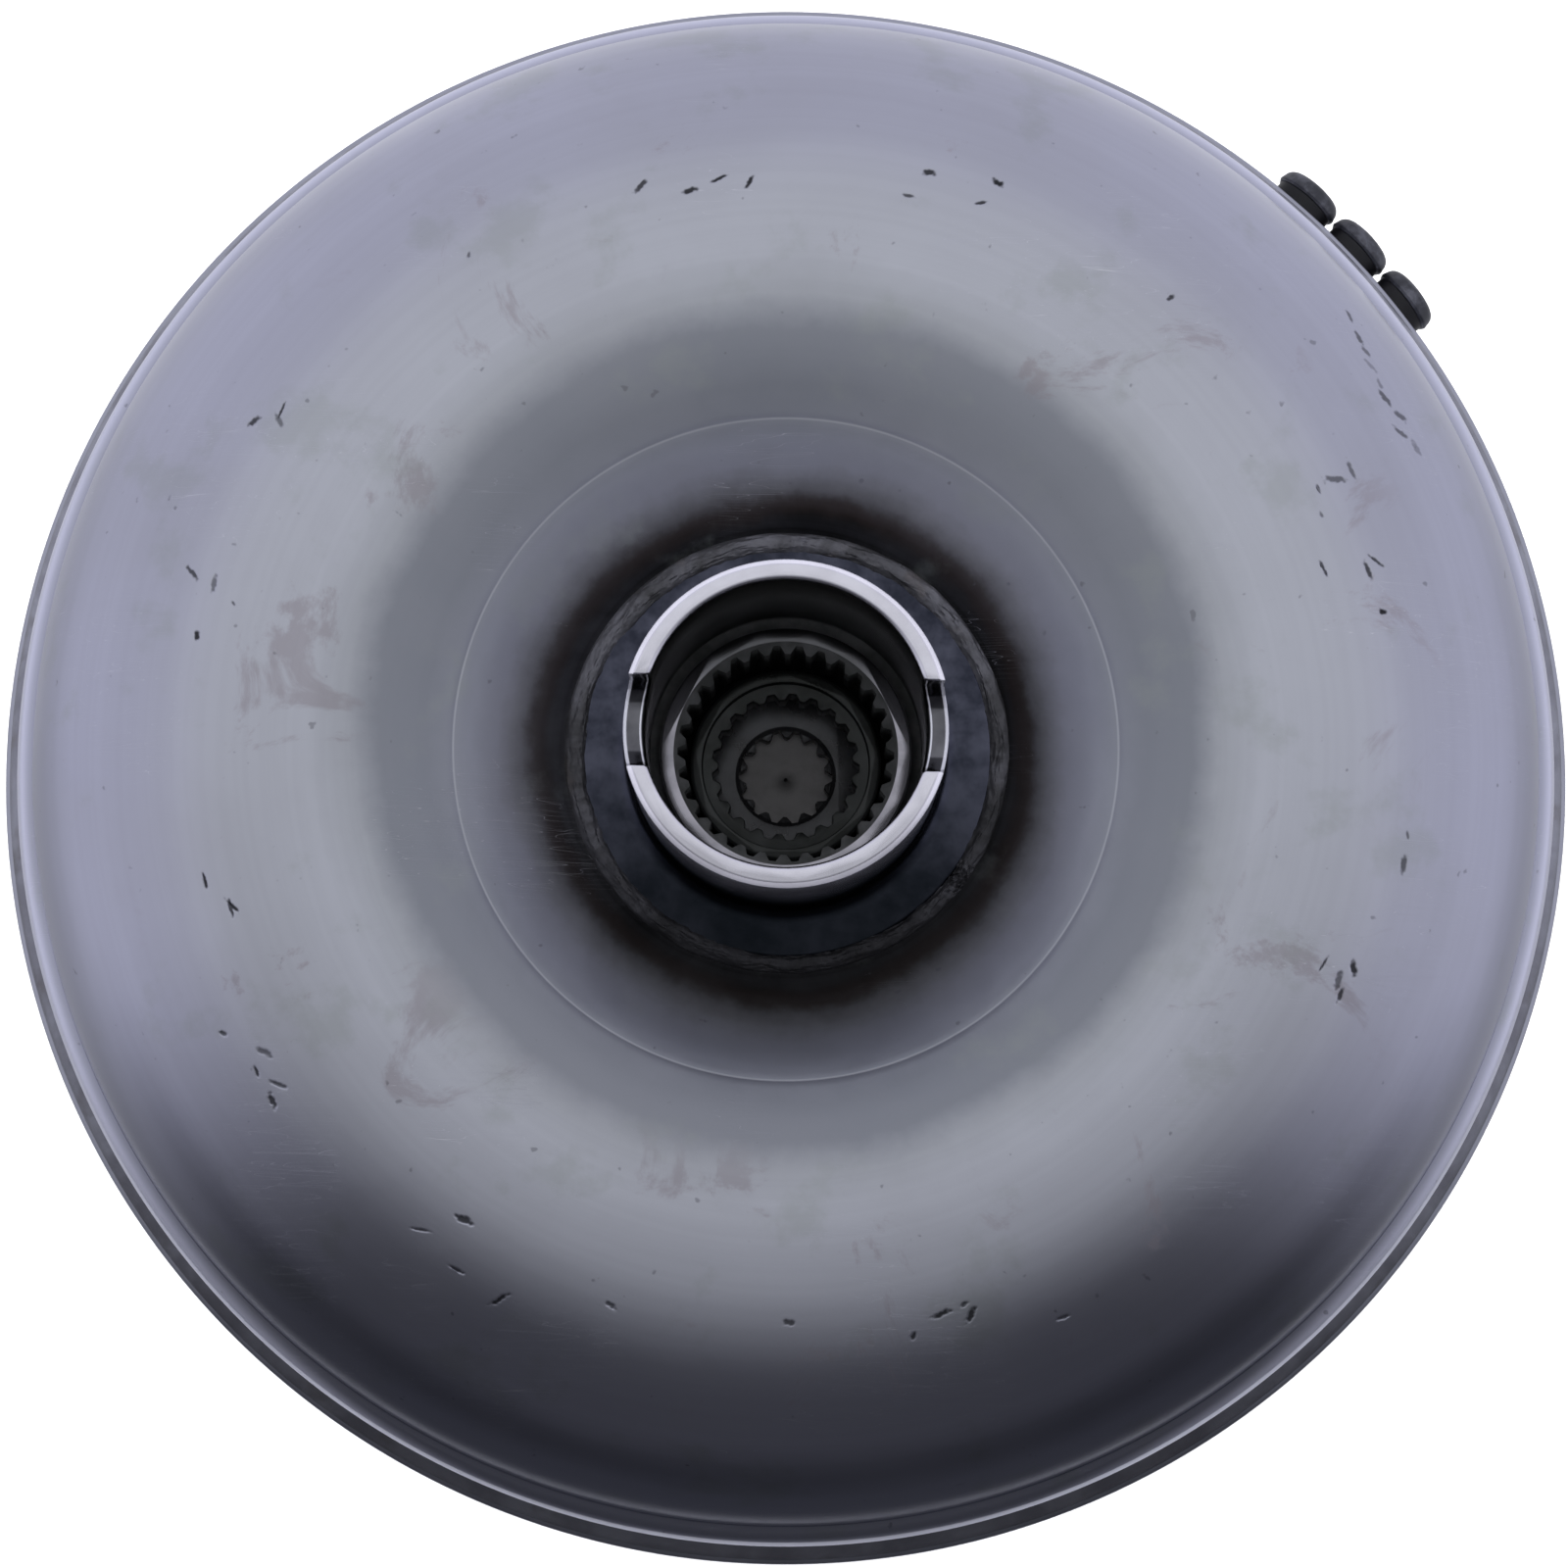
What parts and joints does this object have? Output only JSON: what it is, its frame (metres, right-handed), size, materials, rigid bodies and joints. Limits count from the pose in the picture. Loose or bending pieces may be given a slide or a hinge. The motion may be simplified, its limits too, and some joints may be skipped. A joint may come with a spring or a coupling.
{
  "type": "torque converter",
  "caption": "Welded automatic-gearbox torque converter with a slotted pump-drive hub, three coaxial internal splines, drive lugs and a stator on a one-way clutch.",
  "frame": {"origin": "on the axis, in the plane of the drive lugs' faces", "axes": "+Z along the axis from the engine side to the gearbox side; X through the two drive slots of the pump hub"},
  "size_m": [0.305, 0.305, 0.147],
  "materials": {
    "cover_steel": "pressed steel plate, oily, faint scratches",
    "shell_steel": "pressed steel with a thin oil film, scuffed on the crest, faint brown stains",
    "weld_metal": "rough rippled weld bead with heat tint",
    "hub_steel": "ground hardened steel",
    "race_steel": "broached and hardened steel",
    "turbine_hub_steel": "dark oiled forging with a broached spline",
    "boss_steel": "machined forging with a broached spline",
    "plug_steel": "pressed steel disc",
    "lug_steel": "machined steel block",
    "weight_black": "black finish, semi-gloss",
    "blade_steel": "pressed sheet steel, brazed",
    "cast_aluminium": "die-cast, matte",
    "bearing_steel": "ground bearing steel",
    "cage_steel": "phosphated pressed sheet",
    "spring_steel": "folded spring strip",
    "bronze": "bearing bronze"
  },
  "bodies": {
    "housing": {"front_cover": "cover_steel", "cover_boss": "boss_steel", "boss_weld": "weld_metal", "pilot_plug": "plug_steel", "pilot_bushing": "bronze", "thrust_washer": "bronze", "drive_lugs": "lug_steel", "lug_welds": "weld_metal", "balance_weights": "weight_black", "impeller_shell": "shell_steel", "shell_weld": "weld_metal", "impeller_blades": "blade_steel", "impeller_core_ring": "blade_steel", "impeller_hub": "hub_steel", "hub_weld": "weld_metal", "upper_bearing_hub_race": "bearing_steel"},
    "turbine": {"turbine_shell": "blade_steel", "turbine_blades": "blade_steel", "turbine_core_ring": "blade_steel", "turbine_hub": "turbine_hub_steel", "turbine_rivets": "lug_steel", "lower_bearing_turbine_race": "bearing_steel"},
    "race": {"inner_race": "race_steel"},
    "stator": {"stator_wheel": "cast_aluminium", "cam_race": "race_steel", "clutch_rollers": "bearing_steel", "clutch_springs": "spring_steel", "clutch_retainer": "cast_aluminium", "retaining_ring": "spring_steel", "upper_bearing_stator_race": "bearing_steel", "lower_bearing_stator_race": "bearing_steel"},
    "upper_cage": {"upper_bearing_cage": "cage_steel", "upper_bearing_needles": "bearing_steel"},
    "lower_cage": {"lower_bearing_cage": "cage_steel", "lower_bearing_needles": "bearing_steel"}
  },
  "joints": [
    {"name": "turbine_spin", "type": "hinge", "parent": "housing", "child": "turbine", "pos_m": [0, 0, 0.05], "axis": [0, 0, 1], "continuous": true},
    {"name": "race_spin", "type": "hinge", "parent": "housing", "child": "race", "pos_m": [0, 0, 0.07], "axis": [0, 0, 1], "continuous": true},
    {"name": "stator_spin", "type": "hinge", "parent": "housing", "child": "stator", "pos_m": [0, 0, 0.067], "axis": [0, 0, 1], "continuous": true},
    {"name": "upper_cage_spin", "type": "hinge", "parent": "housing", "child": "upper_cage", "pos_m": [0, 0, 0.0872], "axis": [0, 0, 1], "continuous": true},
    {"name": "lower_cage_spin", "type": "hinge", "parent": "housing", "child": "lower_cage", "pos_m": [0, 0, 0.0483], "axis": [0, 0, 1], "continuous": true}
  ],
  "couplings": [
    {"joint": "upper_cage_spin", "follows": "stator_spin", "ratio": 0.5},
    {"joint": "lower_cage_spin", "follows": "turbine_spin", "ratio": 0.5}
  ]
}
